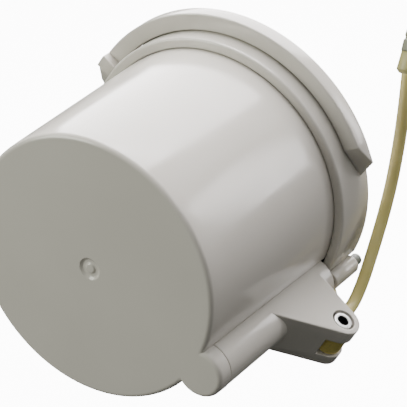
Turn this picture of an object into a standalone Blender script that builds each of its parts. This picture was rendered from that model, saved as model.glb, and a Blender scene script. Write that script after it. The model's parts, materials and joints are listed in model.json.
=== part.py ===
"""Motorised actuator head for a heating valve: a pot over a geared motor, on a base with a bayonet collar.

Sizes are in millimetres here, and the helpers turn them into Blender's metres.
Frame: the origin is the centre of the mounting face. +Y points out of that face, towards the valve.
+Z is up, and the pot's closed end looks along -Y. A depth is a distance behind the closed end.
A bearing is an angle in degrees about Y, from 0 at the top, clockwise when facing +Y.
"""

import math

import bmesh
import bpy
from mathutils import Matrix, Vector

MM = 0.001
NAME = "motorised_actuator_head"

# Casing
HEAD_DEPTH = 77.3
POT_FRONT_RADIUS = 40.0
POT_REAR_RADIUS = 41.15
POT_WALL = 2.4
POT_REAR = 65.0
POT_EDGE = 1.5
BASE_RADIUS = 44.28
BASE_FRONT = 62.33
BULKHEAD = (66.3, 69.3)
BACK_PLATE = (73.4, 77.3)
NECK_OPENING_RADIUS = 27.5
COVER_SCREWS = (31.2, 268.7)
COVER_SCREW_CIRCLE = 35.4
BACK_SCREWS = (81.3, 203.6, 278.8)
BACK_SCREW_CIRCLE = 37.2

# Locking collar
COLLAR_RADIUS = 49.7
COLLAR_DEPTHS = (68.0, 73.25)
COLLAR_BEARINGS = (-63.0, 65.5)
COLLAR_RAMP = 10.0
COLLAR_TRAVEL = 20.0
COLLAR_WEB = 42.0

# Clamp arm: a tube beside the pot, with a wedge-shaped lug standing out of it
ARM_BEARING = 121.6
ARM_CENTRE = (35.47, -21.83)
ARM_RADIUS = 7.5
ARM_DEPTHS = (5.3, 62.0)
ARM_TILT = 30.0
LUG_NOSE = (48.8, 16.0)
LUG_NOSE_RADIUS = 5.3
CLAMP_SCREW = (48.6, 16.2)
SLEEVE_OFFSET = (4.2, 2.6)
SLEEVE_RADIUS = 2.85

# Gearbox
MODULE = 0.8
SMALL_TEETH = 12
WHEEL_TEETH = 30
OUTPUT_TEETH = 40
ADDENDUM = 0.7
DEDENDUM = 1.0
FRONT_PLATE = (39.0, 40.2)
REAR_PLATE = (53.0, 54.2)
PLATE_RADIUS = 31.0
PILLARS = ((-6.2, 28.5), (86.3, 28.0), (188.8, 28.0))
AXLE_RADIUS = 1.5
SHAFT_RADIUS = 3.0
RUN = 0.15
GAP = 0.3
MOTOR_RADIUS = 20.0

# Switches
CAM_LOW = 8.0
CAM_LIFT = 1.26
LEVER_SWING = 6.0
LEVER_LENGTH = 15.0
SWITCH_DEPTHS = (55.0, 61.0)

# Leads: two come out of the lug's rear face, one at a level below its middle and one on it
LEAD_RADIUS = 1.85
LEAD_LEVEL = -4.7
INNER_LEAD_OUT = 10.0
OUTER_LEAD_OUT = 14.0
LEAD_BEND = 11.3
LEAD_TURN = 58.5
LEAD_APEX = LEAD_TURN + LEAD_BEND
LEAD_ROUTE = (
    (47.6, 53.9, -28.83),
    (47.6, 57.3, -28.83),
    (47.6, 60.8, -28.6),
    (47.8, 64.6, -26.7),
    (48.0, 68.6, -22.3),
    (48.0, 72.4, -17.0),
    (48.0, 75.9, -11.6),
    (48.0, 79.0, -6.4),
    (48.0, 81.7, -1.2),
    (48.0, 84.1, 4.4),
    (48.0, 86.8, 13.0),
    (48.0, 88.8, 21.8),
    (48.0, 90.1, 30.0),
    (48.0, 90.9, 36.0),
)
CONNECTOR_LEAN = (0.0, 0.65, 1.0)

PARTS = None
TOOLS = None


def start():
    """Empties the scene and makes the two collections."""
    global PARTS, TOOLS
    for thing in list(bpy.data.objects):
        bpy.data.objects.remove(thing, do_unlink=True)
    PARTS = bpy.data.collections.new(NAME)
    TOOLS = bpy.data.collections.new("cutters")
    for group in (PARTS, TOOLS):
        bpy.context.scene.collection.children.link(group)


def paint(name, colour, roughness, metallic=0.0):
    made = bpy.data.materials.new(name)
    made.use_nodes = True
    shader = made.node_tree.nodes["Principled BSDF"]
    shader.inputs["Base Color"].default_value = (*colour, 1.0)
    shader.inputs["Roughness"].default_value = roughness
    shader.inputs["Metallic"].default_value = metallic
    made.diffuse_color = (*colour, 1.0)
    return made


def spot(bearing, radius):
    """The X and Z of a point at a bearing and a radius."""
    turn = math.radians(bearing)
    return (radius * math.sin(turn), radius * math.cos(turn))


def y_at(depth):
    return (depth - HEAD_DEPTH) * MM


def arm_directions():
    """The lug's outward direction and its upward normal."""
    tilt = math.radians(ARM_TILT)
    outward = Vector((math.cos(tilt), 0.0, -math.sin(tilt)))
    upward = Vector((math.sin(tilt), 0.0, math.cos(tilt)))
    return outward, upward


def arm_point(depth, outward, upward=0.0):
    """A point in metres, from its depth and its distances from the arm's centre line."""
    out, up = arm_directions()
    centre = Vector((ARM_CENTRE[0], 0.0, ARM_CENTRE[1])) * MM
    return centre + Vector((0.0, y_at(depth), 0.0)) + out * outward * MM + up * upward * MM


def finish(thing, name, material, smooth=True):
    """Names an object and puts it with the parts, or with the cutters if it has no material."""
    thing.name = name
    thing.data.name = name
    for group in list(thing.users_collection):
        group.objects.unlink(thing)
    if material:
        PARTS.objects.link(thing)
        thing.data.materials.clear()
        thing.data.materials.append(material)
        if smooth:
            thing.data.shade_smooth()
            thing.data.set_sharp_from_angle(angle=math.radians(35))
    else:
        TOOLS.objects.link(thing)
        thing.hide_render = True
        thing.display_type = "WIRE"
    return thing


def mesh_object(name, mesh):
    thing = bpy.data.objects.new(name, mesh)
    bpy.context.scene.collection.objects.link(thing)
    return thing


def turned(name, profile, material=None, at=(0.0, 0.0), segments=48):
    """Turns (radius, depth) points about an axis along Y. Their outer side runs from back to front."""
    closed = all(radius > 0 for radius, _ in profile)
    points = [(radius * MM, 0.0, y_at(depth)) for radius, depth in profile]
    edges = [(i, i + 1) for i in range(len(points) - 1)]
    if closed:
        edges.append((len(points) - 1, 0))
    mesh = bpy.data.meshes.new(name)
    mesh.from_pydata(points, edges, [])
    thing = mesh_object(name, mesh)
    thing.rotation_euler = (math.radians(-90), 0.0, 0.0)
    thing.location = (at[0] * MM, 0.0, at[1] * MM)
    screw = thing.modifiers.new("turn", "SCREW")
    screw.steps = segments
    screw.render_steps = segments
    screw.use_merge_vertices = True
    screw.merge_threshold = 0.00001
    screw.use_smooth_shade = True
    return finish(thing, name, material, smooth=False)


def rod(radius, front, back):
    return [(0, back), (radius, back), (radius, front), (0, front)]


def ring(inner, outer, front, back):
    return [(outer, back), (outer, front), (inner, front), (inner, back)]


def cylinder(name, radius, start_point, end_point, material=None, sides=24):
    """A cylinder between two points in metres."""
    start_point, end_point = Vector(start_point), Vector(end_point)
    along = end_point - start_point
    bpy.ops.mesh.primitive_cylinder_add(
        vertices=sides,
        radius=radius * MM,
        depth=along.length,
        location=(start_point + end_point) / 2,
        rotation=Vector((0, 0, 1)).rotation_difference(along).to_euler(),
    )
    return finish(bpy.context.object, name, material)


def block(name, low, high, material=None, bevel=0.0):
    """A box between two corners given as X, depth and Z."""
    size = [(b - a) * MM for a, b in zip(low, high)]
    centre = ((low[0] + high[0]) / 2 * MM, y_at((low[1] + high[1]) / 2), (low[2] + high[2]) / 2 * MM)
    bpy.ops.mesh.primitive_cube_add(size=1.0, location=centre)
    thing = bpy.context.object
    for vertex in thing.data.vertices:
        vertex.co = Vector([a * b for a, b in zip(vertex.co, size)])
    if bevel:
        round_edges(thing, bevel, 2)
    return finish(thing, name, material, smooth=False)


def round_edges(thing, width, segments):
    bevel = thing.modifiers.new("edges", "BEVEL")
    bevel.width = width * MM
    bevel.segments = segments
    bevel.limit_method = "ANGLE"
    bevel.angle_limit = math.radians(50)


def solid_from_curve(curve, name, material):
    """Makes one closed mesh of a curve object, where it stands."""
    shaped = curve.evaluated_get(bpy.context.evaluated_depsgraph_get())
    mesh = bpy.data.meshes.new_from_object(shaped)
    work = bmesh.new()
    work.from_mesh(mesh)
    bmesh.ops.remove_doubles(work, verts=work.verts, dist=0.000001)
    bmesh.ops.recalc_face_normals(work, faces=work.faces)
    work.to_mesh(mesh)
    work.free()
    thing = mesh_object(name, mesh)
    thing.matrix_world = curve.matrix_world.copy()
    bpy.data.objects.remove(curve, do_unlink=True)
    return finish(thing, name, material)


def outline_curve(outlines, thickness, place):
    """A filled flat curve, extruded both ways from its plane."""
    data = bpy.data.curves.new("outline", "CURVE")
    data.dimensions = "2D"
    data.fill_mode = "BOTH"
    data.extrude = thickness / 2 * MM
    for points in outlines:
        line = data.splines.new("POLY")
        line.points.add(len(points) - 1)
        for point, (a, b) in zip(line.points, points):
            point.co = (a * MM, b * MM, 0.0, 1.0)
        line.use_cyclic_u = True
    curve = bpy.data.objects.new("outline", data)
    bpy.context.scene.collection.objects.link(curve)
    curve.matrix_world = place
    bpy.context.view_layer.update()
    return curve


def plate(name, outlines, front, back, material=None, at=(0.0, 0.0)):
    """A flat piece across Y. Its outlines are in X and Z, and those after the first are holes."""
    middle = Vector((at[0] * MM, y_at((front + back) / 2), at[1] * MM))
    place = Matrix.Translation(middle) @ Matrix.Rotation(math.radians(90), 4, "X")
    return solid_from_curve(outline_curve(outlines, back - front, place), name, material)


def side_plate(name, outline, low, high, material=None):
    """A flat piece of the arm, outlined in depth and outward distance, between two upward distances."""
    out, up = arm_directions()
    middle = arm_point(HEAD_DEPTH, 0.0, (low + high) / 2)
    place = Matrix.Translation(middle) @ Matrix((Vector((0, 1, 0)), out, -up)).transposed().to_4x4()
    points = [(depth - HEAD_DEPTH, outward) for depth, outward in outline]
    return solid_from_curve(outline_curve([points], high - low, place), name, material)


def combine(thing, other, operation):
    """Joins or cuts a part with another object, which becomes a hidden tool."""
    boolean = thing.modifiers.new(f"{operation.lower()}_{other.name}", "BOOLEAN")
    boolean.operation = operation
    boolean.solver = "EXACT"
    boolean.object = other
    return thing


def cut(thing, *others):
    for other in others:
        combine(thing, other, "DIFFERENCE")
    return thing


def join(thing, *others):
    for other in others:
        combine(thing, other, "UNION")
    return thing


def bore(name, radius, front, back, at=(0.0, 0.0)):
    """A round tool along Y, used as a hole or a boss."""
    return turned(name, rod(radius, front, back), at=at, segments=20)


def circle(radius, centre=(0.0, 0.0), count=48):
    turns = [math.tau * i / count for i in range(count)]
    return [(centre[0] + radius * math.cos(t), centre[1] + radius * math.sin(t)) for t in turns]


def smooth_route(route, spacing):
    """Points along a Catmull-Rom curve through the route, in metres, about a spacing apart."""
    ends = [route[0] * 2 - route[1], *route, route[-1] * 2 - route[-2]]
    points = []
    for a, b, c, d in zip(ends, ends[1:], ends[2:], ends[3:]):
        steps = max(1, round((c - b).length / spacing))
        for i in range(steps):
            t = i / steps
            bend = (2 * a - 5 * b + 4 * c - d) * t * t + (3 * b - a - 3 * c + d) * t * t * t
            points.append((2 * b + (c - a) * t + bend) / 2)
    return [*points, route[-1]]


def tube(name, route, radius, spacing, material, resolution=2):
    data = bpy.data.curves.new(name, "CURVE")
    data.dimensions = "3D"
    data.bevel_depth = radius * MM
    data.bevel_resolution = resolution
    data.use_fill_caps = True
    points = smooth_route([Vector(p) for p in route], spacing * MM)
    line = data.splines.new("POLY")
    line.points.add(len(points) - 1)
    for point, place in zip(line.points, points):
        point.co = (*place, 1.0)
    curve = bpy.data.objects.new(name, data)
    bpy.context.scene.collection.objects.link(curve)
    bpy.context.view_layer.update()
    return solid_from_curve(curve, name, material)


# Casing


def pot_cover(material):
    """The moulded pot: a tapered shell with a dimple, a lobe over the arm's end and a trough for the arm."""
    slope = (POT_REAR_RADIUS - POT_FRONT_RADIUS) / POT_REAR
    corner = [
        (
            POT_FRONT_RADIUS - POT_EDGE * (1 - math.cos(math.radians(turn))),
            POT_EDGE * (1 - math.sin(math.radians(turn))),
        )
        for turn in (0, 30, 60, 90)
    ]
    dimple = [(3.0, 0.0), (2.5, 0.5), (1.3, 0.5), (0.9, 0.1), (0.0, 0.1)]
    outside = [(0.0, POT_REAR), (POT_REAR_RADIUS, POT_REAR), *corner, *dimple]
    pot = turned("pot_cover", outside, material, segments=72)
    inner_front = POT_FRONT_RADIUS - POT_WALL
    inner_rear = inner_front + slope * (POT_REAR + 5.0)
    inside = [
        (0, POT_REAR + 5),
        (inner_rear, POT_REAR + 5),
        (inner_front, 3.6),
        (inner_front - 1.2, POT_WALL),
        (0, POT_WALL),
    ]
    hollow = turned("pot_hollow", inside, segments=60)
    cut(hollow, bore("trough_wall", ARM_RADIUS + 1.6, 1.0, POT_REAR + 8, ARM_CENTRE))
    for i, bearing in enumerate(COVER_SCREWS):
        cut(hollow, bore(f"screw_boss_{i}", 3.6, 52.0, POT_REAR + 8, spot(bearing, COVER_SCREW_CIRCLE)))
    cut(pot, hollow)
    cut(pot, bore("trough", ARM_RADIUS + GAP, ARM_DEPTHS[0] - GAP, POT_REAR + 9, ARM_CENTRE))
    end = [
        (0, 4.9),
        (ARM_RADIUS, 4.9),
        (ARM_RADIUS, 1.3),
        (ARM_RADIUS - 0.4, 0.5),
        (ARM_RADIUS - 1.2, 0.06),
        (0, 0.06),
    ]
    join(pot, turned("lobe", end, at=ARM_CENTRE, segments=32))
    cut(pot, bore("bolt_thread", 1.55, 2.0, 6.0, ARM_CENTRE))
    for i, bearing in enumerate(COVER_SCREWS):
        cut(pot, bore(f"screw_pilot_{i}", 1.5, 54.0, POT_REAR + 1, spot(bearing, COVER_SCREW_CIRCLE)))
    return pot


def cover_screws(material):
    """Countersunk screws from behind the bulkhead into the pot's bosses."""
    for i, bearing in enumerate(COVER_SCREWS, 1):
        profile = [(0, 69.0), (2.9, 69.0), (1.25, 67.2), (1.25, 56.0), (0, 55.4)]
        turned(f"cover_screw_{i}", profile, material, spot(bearing, COVER_SCREW_CIRCLE), 16)


def base_housing(material):
    """The base: an outer wall, a bulkhead, posts for the gearbox and a window for the collar's web."""
    profile = [
        (BASE_RADIUS, HEAD_DEPTH - 0.4),
        (BASE_RADIUS, BASE_FRONT + 0.5),
        (BASE_RADIUS - 0.5, BASE_FRONT),
        (41.5, BASE_FRONT),
        (41.5, BULKHEAD[0]),
        (4.9, BULKHEAD[0]),
        (4.9, BULKHEAD[1]),
        (6.0, BULKHEAD[1]),
        (6.0, 73.0),
        (8.5, 73.0),
        (8.5, BULKHEAD[1]),
        (40.5, BULKHEAD[1]),
        (40.5, HEAD_DEPTH),
        (BASE_RADIUS - 0.4, HEAD_DEPTH),
    ]
    base = turned("base_housing", profile, material, segments=72)
    for i, (bearing, radius) in enumerate(PILLARS):
        place = spot(bearing, radius)
        join(base, bore(f"post_{i}", 3.0, REAR_PLATE[1] + GAP, 67.0, place))
        cut(base, bore(f"post_pilot_{i}", 1.5, 50.0, 63.0, place))
    for i, bearing in enumerate(BACK_SCREWS):
        place = spot(bearing, BACK_SCREW_CIRCLE)
        join(base, bore(f"back_post_{i}", 2.9, 68.5, BACK_PLATE[0] - GAP, place))
        cut(base, bore(f"back_pilot_{i}", 1.4, 67.5, 78.0, place))
    for i, bearing in enumerate(COVER_SCREWS):
        place = spot(bearing, COVER_SCREW_CIRCLE)
        tool = [(0, 80.0), (3.4, 80.0), (3.4, 69.1), (1.6, 67.0), (1.6, 60.0), (0, 60.0)]
        cut(base, turned(f"cover_screw_hole_{i}", tool, at=place, segments=16))
    inner = spot(ARM_BEARING, 39.6)
    join(base, bore("bolt_boss", 4.0, 68.0, BACK_PLATE[0] + 2.5, inner))
    cut(base, bore("bolt_hole", 1.6, 60.0, 80.0, ARM_CENTRE))
    cut(base, bore("bolt_head_hole", 2.2, 74.2, 80.0, ARM_CENTRE))
    sleeve = arm_point(0.0, *SLEEVE_OFFSET) / MM
    cut(base, bore("sleeve_groove", SLEEVE_RADIUS + GAP, 60.0, 80.0, (sleeve.x, sleeve.z)))
    cut(base, collar_window())
    out, _ = arm_directions()
    wall = arm_point(LEAD_APEX, -1.3, LEAD_LEVEL)
    cut(base, cylinder("bush_hole", 3.15, wall - out * 0.006, wall + out * 0.012, sides=20))
    cut(base, lead_slot())
    return base


def sector(inner, outer, start_bearing, end_bearing, step=4.0):
    """The outline of a flat arc in X and Z."""
    count = max(2, round(abs(end_bearing - start_bearing) / step))
    bearings = [start_bearing + (end_bearing - start_bearing) * i / count for i in range(count + 1)]
    return [spot(b, outer) for b in bearings] + [spot(b, inner) for b in reversed(bearings)]


def collar_window():
    outline = sector(38.0, 47.0, -COLLAR_WEB - 2.5, COLLAR_WEB + COLLAR_TRAVEL + 2.5)
    return plate("collar_window", [outline], 69.6, 73.0)


def lead_slot():
    """A slot across the bulkhead, which the inner lead passes through."""
    outline = [(66.0, -15.5), (BULKHEAD[1] + 3.0, -15.5), (BULKHEAD[1] + 3.0, 0.5), (66.0, 0.5)]
    return side_plate("lead_slot", outline, LEAD_LEVEL - 2.6, LEAD_LEVEL + 2.6)


def back_plate(material):
    """The flat ring that closes the base and carries the mounting face."""
    made = turned("back_plate", ring(NECK_OPENING_RADIUS, 40.2, *BACK_PLATE), material, segments=72)
    for i, bearing in enumerate(BACK_SCREWS):
        tool = [(0, 78.0), (3.4, 78.0), (3.4, 77.0), (1.6, 75.0), (1.6, 70.0), (0, 70.0)]
        cut(made, turned(f"back_screw_hole_{i}", tool, at=spot(bearing, BACK_SCREW_CIRCLE), segments=16))
    cut(made, bore("bolt_passage", 4.4, 70.0, 80.0, spot(ARM_BEARING, 39.6)))
    return made


def back_plate_screws(material):
    for i, bearing in enumerate(BACK_SCREWS, 1):
        profile = [(0, 76.9), (3.0, 76.9), (1.15, 75.0), (1.15, 68.6), (0, 68.2)]
        turned(f"back_plate_screw_{i}", profile, material, spot(bearing, BACK_SCREW_CIRCLE), 16)


def cover_bolt(material):
    """The long bolt from the mounting face, through the arm's tube, into the pot's lobe."""
    profile = [(0, 77.0), (1.9, 77.0), (1.9, 74.5), (1.3, 74.5), (1.3, 2.6), (0, 2.3)]
    bolt = turned("cover_bolt", profile, material, ARM_CENTRE, 20)
    return cut(bolt, plate("bolt_socket", [circle(1.1, count=6)], 75.4, 78.0, at=ARM_CENTRE))


def locking_collar(material):
    """The bayonet collar: a grip arc with a finger tab, a web through the base wall and a clawed ring."""
    first, last = COLLAR_BEARINGS
    front, back = COLLAR_DEPTHS
    inner = BASE_RADIUS + GAP
    outline = sector(inner, COLLAR_RADIUS, first - COLLAR_RAMP, last + COLLAR_RAMP)
    arc = plate("locking_collar", [outline], front, back, material)
    join(arc, plate("collar_web", [sector(32.0, inner + 0.8, -COLLAR_WEB, COLLAR_WEB)], 70.0, 72.6))
    claw_ring = turned("claw_ring", ring(28.5, 33.0, 69.9, 72.7), segments=48)
    join(arc, claw_ring)
    for i, bearing in enumerate((0.0, 120.0, 240.0)):
        outline = sector(24.0, 29.0, bearing - 14.0, bearing + 14.0)
        join(arc, plate(f"claw_{i}", [outline], 70.1, 72.5))
    tab = sector(inner + 0.05, COLLAR_RADIUS + 0.05, first + 3.5, first + 8.5, 2.5)
    join(arc, plate("finger_tab", [tab], 64.8, front + 1.5))
    for sign, bearing in ((-1, first), (1, last)):
        cut(arc, ramp_cutter(sign, bearing))
    return arc


def ramp_cutter(sign, bearing):
    """Cuts an end of the grip arc back along a slope, from its rear edge to its front edge."""
    front, back = COLLAR_DEPTHS
    low = spot(bearing, 44.3)
    across = Vector((*spot(bearing, 1.0), 0.0))
    along = Vector((*spot(bearing + 90.0 * sign, 1.0), 0.0))
    run = math.radians(COLLAR_RAMP) * 47.0
    far = run + 9.0
    outline = [(0.0, front - 0.5), (0.0, front), (run, back), (far, back + 3.0), (far, front - 0.5)]
    centre = Vector((low[0] * MM, y_at(HEAD_DEPTH), low[1] * MM)) + Vector((across.x, 0, across.y)) * 2.0 * MM
    axis_a = Vector((along.x, 0.0, along.y))
    axis_b = Vector((0.0, 1.0, 0.0))
    place = Matrix.Translation(centre) @ Matrix((axis_a, axis_b, axis_a.cross(axis_b))).transposed().to_4x4()
    points = [(distance, depth - HEAD_DEPTH) for distance, depth in outline]
    side = "left" if sign < 0 else "right"
    return solid_from_curve(outline_curve([points], 9.0, place), f"ramp_{side}", None)


def cover_seal(material):
    """The flat gasket between the pot's rim and the bulkhead, notched for the long bolt."""
    seal = turned("cover_seal", ring(37.9, 41.0, POT_REAR + GAP, BULKHEAD[0] - GAP), material, segments=64)
    return cut(seal, bore("seal_notch", 2.1, 60.0, 70.0, ARM_CENTRE))


# Clamp arm


def lug_outline():
    """Depth and outward distance round the lug: a straight front slope, a round nose and a straight back."""
    cx, cy = LUG_NOSE
    nose = [
        (cx + LUG_NOSE_RADIUS * math.cos(math.radians(a)), cy + LUG_NOSE_RADIUS * math.sin(math.radians(a)))
        for a in range(140, -1, -14)
    ]
    return [(30.0, 1.4), *nose, (56.1, 4.4), (56.1, 0.0), (30.0, 0.0)]


def clamp_arm(material):
    """The tube beside the pot, with its lug, the slot for the clamp nut and the holes for the two leads."""
    front, back = ARM_DEPTHS
    profile = [
        (0, back),
        (6.3, back),
        (ARM_RADIUS, back - 1.2),
        (ARM_RADIUS, front + 0.3),
        (ARM_RADIUS - 0.3, front),
        (0, front),
    ]
    arm = turned("clamp_arm", profile, material, ARM_CENTRE, 40)
    lug = side_plate("lug", lug_outline(), -ARM_RADIUS + 0.02, ARM_RADIUS - 0.02)
    join(arm, lug)
    cut(arm, bore("bolt_way", 1.6, 0.0, 70.0, ARM_CENTRE))
    sleeve = arm_point(0.0, *SLEEVE_OFFSET) / MM
    cut(arm, bore("pin_way", 1.5, 44.0, 70.0, (sleeve.x, sleeve.z)))
    depth, outward = CLAMP_SCREW
    axis_low, axis_high = arm_point(depth, outward, -2.0), arm_point(depth, outward, 12.0)
    cut(arm, cylinder("screw_way", 1.75, axis_low, axis_high, sides=20))
    cut(arm, cylinder("counterbore", 3.45, arm_point(depth, outward, 4.2), axis_high, sides=28))
    slot = [(42.3, 11.0), (53.6, 11.0), (53.6, 30.0), (42.3, 30.0)]
    cut(arm, side_plate("nut_slot", slot, -3.7, 2.9))
    for name, outward, level in (("inner", INNER_LEAD_OUT, LEAD_LEVEL), ("outer", OUTER_LEAD_OUT, 0.0)):
        start_point, end_point = arm_point(52.0, outward, level), arm_point(60.0, outward, level)
        cut(arm, cylinder(f"{name}_lead_way", LEAD_RADIUS + GAP, start_point, end_point, sides=20))
    return arm


def clamp_nut(material):
    depth, outward = CLAMP_SCREW
    low, high = arm_point(depth, outward, -3.4), arm_point(depth, outward, 2.6)
    nut = cylinder("clamp_nut", 4.4, low, high, material, 28)
    low, high = arm_point(depth, outward, -5.0), arm_point(depth, outward, 5.0)
    cut(nut, cylinder("nut_thread", 1.6, low, high, sides=20))
    round_edges(nut, 0.3, 1)
    return nut


def clamp_screw(material):
    """A socket-head screw: its head in the counterbore, its thread in the nut."""
    depth, outward = CLAMP_SCREW
    levels = (-3.2, 4.5, 5.5, 7.2, 9.0)
    low, under, inside, top, above = (arm_point(depth, outward, level) for level in levels)
    screw = cylinder("clamp_screw", 2.75, under, top, material, 28)
    join(screw, cylinder("screw_shank", 1.4, low, inside, sides=20))
    cut(screw, cylinder("screw_socket", 1.45, inside, above, sides=6))
    return screw


def rear_sleeve(material):
    sleeve = arm_point(0.0, *SLEEVE_OFFSET) / MM
    return turned("rear_sleeve", ring(1.6, SLEEVE_RADIUS, 62.3, 75.8), material, (sleeve.x, sleeve.z), 28)


def retaining_pin(material):
    """The pin through the sleeve into the arm, with a round head behind the sleeve."""
    sleeve = arm_point(0.0, *SLEEVE_OFFSET) / MM
    profile = [(0, 78.3), (1.4, 78.3), (1.8, 77.9), (1.8, 76.1), (1.3, 76.1), (1.3, 45.0), (0, 44.6)]
    return turned("retaining_pin", profile, material, (sleeve.x, sleeve.z), 20)


# Leads


def inner_lead(material):
    """From the lug, round through the base wall and forward inside the pot to the terminal block."""
    route = [arm_point(53.9, INNER_LEAD_OUT, LEAD_LEVEL), arm_point(56.2, INNER_LEAD_OUT, LEAD_LEVEL)]
    for turn in range(0, 181, 30):
        bend = math.radians(turn)
        outward = INNER_LEAD_OUT - LEAD_BEND + LEAD_BEND * math.cos(bend)
        route.append(arm_point(LEAD_TURN + LEAD_BEND * math.sin(bend), outward, LEAD_LEVEL))
    route.append(Vector((0.0232, y_at(50.0), -0.0168)))
    route.append(Vector((0.0254, y_at(42.0), -0.0090)))
    route.append(Vector((0.0256, y_at(38.0), -0.0075)))
    route.append(Vector((0.0256, y_at(35.2), -0.0073)))
    return tube("inner_lead", route, LEAD_RADIUS, 4.5, material)


def lead_bush(material):
    """The rubber bush in the base wall round the inner lead."""
    out, _ = arm_directions()
    wall = arm_point(LEAD_APEX, 0.0, LEAD_LEVEL)
    bush = cylinder("lead_bush", 2.9, wall - out * 0.0008, wall + out * 0.0012, material, 24)
    return cut(bush, cylinder("bush_way", 2.5, wall - out * 0.01, wall + out * 0.01, sides=20))


def supply_lead(material):
    """The free lead: straight out of the lug, then up in one long curve to its connector."""
    route = [(x * MM, y_at(depth), z * MM) for x, depth, z in LEAD_ROUTE]
    return tube("supply_lead", route, LEAD_RADIUS, 4.6, material)


def connector_point(distance):
    end = Vector((LEAD_ROUTE[-1][0] * MM, y_at(LEAD_ROUTE[-1][1]), LEAD_ROUTE[-1][2] * MM))
    return end + Vector(CONNECTOR_LEAN).normalized() * distance * MM


def lead_ferrule(material):
    """The tapered collar at the lead's far end."""
    bpy.ops.mesh.primitive_cone_add(
        vertices=24,
        radius1=3.4 * MM,
        radius2=3.7 * MM,
        depth=4.2 * MM,
        location=connector_point(3.2),
        rotation=Vector((0, 0, 1)).rotation_difference(Vector(CONNECTOR_LEAN)).to_euler(),
    )
    return finish(bpy.context.object, "lead_ferrule", material)


def lead_connector(material):
    body = cylinder("lead_connector", 4.0, connector_point(5.6), connector_point(21.6), material, 28)
    round_edges(body, 0.6, 2)
    return body


# Gearbox


def gear_outline(teeth, first):
    """A toothed outline in X and Z, with a tooth at the angle first, in radians from +X towards +Z."""
    pitch_radius = MODULE * teeth / 2
    half = math.pi * MODULE / 4 - 0.09
    lean = math.tan(math.radians(20))
    root, tip = pitch_radius - DEDENDUM, pitch_radius + ADDENDUM
    root_half, tip_half = (half + DEDENDUM * lean) / root, (half - ADDENDUM * lean) / tip
    points = []
    for i in range(teeth):
        middle = first + math.tau * i / teeth
        for radius, offset in ((root, -root_half), (tip, -tip_half), (tip, tip_half), (root, root_half)):
            points.append((radius * math.cos(middle + offset), radius * math.sin(middle + offset)))
    return points


def meshed(teeth, first, here, there, other_teeth):
    """The first tooth's angle on the gear at there, so that it meshes with the gear at here."""
    direction = math.atan2(there[1] - here[1], there[0] - here[0])
    offset = (first - direction) % (math.tau / teeth)
    return direction + math.pi - offset * teeth / other_teeth + math.pi / other_teeth


def polar(centre, bearing, radius):
    x, z = spot(bearing, radius)
    return (centre[0] + x, centre[1] + z)


LONG_CENTRES = MODULE * (SMALL_TEETH + OUTPUT_TEETH) / 2
SHORT_CENTRES = MODULE * (SMALL_TEETH + WHEEL_TEETH) / 2
SECOND_AXLE = spot(-60.0, LONG_CENTRES)
FIRST_AXLE = spot(-60.0 - 2 * math.degrees(math.asin(SHORT_CENTRES / 2 / LONG_CENTRES)), LONG_CENTRES)
MOTOR_AXIS = polar(FIRST_AXLE, 45.0, SHORT_CENTRES)
LAYERS = ((41.2, 43.4), (45.0, 47.2), (49.0, 51.6))


def toothed(name, teeth, first, front, back, at, material=None):
    return plate(name, [gear_outline(teeth, first)], front, back, material, at)


def compound_gear(name, wheel_layer, wheel_first, small_first, at, material):
    """A wheel with a small gear behind it, which reaches the next layer, and a running bore."""
    front, back = LAYERS[wheel_layer]
    gear = toothed(name, WHEEL_TEETH, wheel_first, front, back, at, material)
    reach = LAYERS[wheel_layer + 1][1] + 0.4
    join(gear, toothed(f"{name}_small", SMALL_TEETH, small_first, front + 0.6, reach, at))
    return cut(gear, bore(f"{name}_bore", AXLE_RADIUS + RUN, 35.0, 60.0, at))


def gear_train(plastic, metal):
    centre = (0.0, 0.0)
    output_first = 0.0
    output = toothed("output_gear", OUTPUT_TEETH, output_first, *LAYERS[2], centre, plastic)
    cut(output, bore("output_gear_bore", SHAFT_RADIUS + RUN, 35.0, 60.0))
    second_small = meshed(OUTPUT_TEETH, output_first, centre, SECOND_AXLE, SMALL_TEETH)
    second_wheel = 0.0
    compound_gear("second_gear", 1, second_wheel, second_small, SECOND_AXLE, plastic)
    first_small = meshed(WHEEL_TEETH, second_wheel, SECOND_AXLE, FIRST_AXLE, SMALL_TEETH)
    first_wheel = 0.0
    compound_gear("first_gear", 0, first_wheel, first_small, FIRST_AXLE, plastic)
    pinion_first = meshed(WHEEL_TEETH, first_wheel, FIRST_AXLE, MOTOR_AXIS, SMALL_TEETH)
    pinion = toothed("motor_pinion", SMALL_TEETH, pinion_first, 40.8, LAYERS[0][1] + 0.3, MOTOR_AXIS, metal)
    return cut(pinion, bore("pinion_bore", 1.65, 35.0, 60.0, MOTOR_AXIS))


def axles(material):
    for name, place in (("first_axle", FIRST_AXLE), ("second_axle", SECOND_AXLE)):
        turned(name, rod(AXLE_RADIUS, 38.8, 54.4), material, place, 20)


def motor_shaft(material):
    return turned("motor_shaft", rod(1.5, 34.0, 43.9), material, MOTOR_AXIS, 20)


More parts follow.
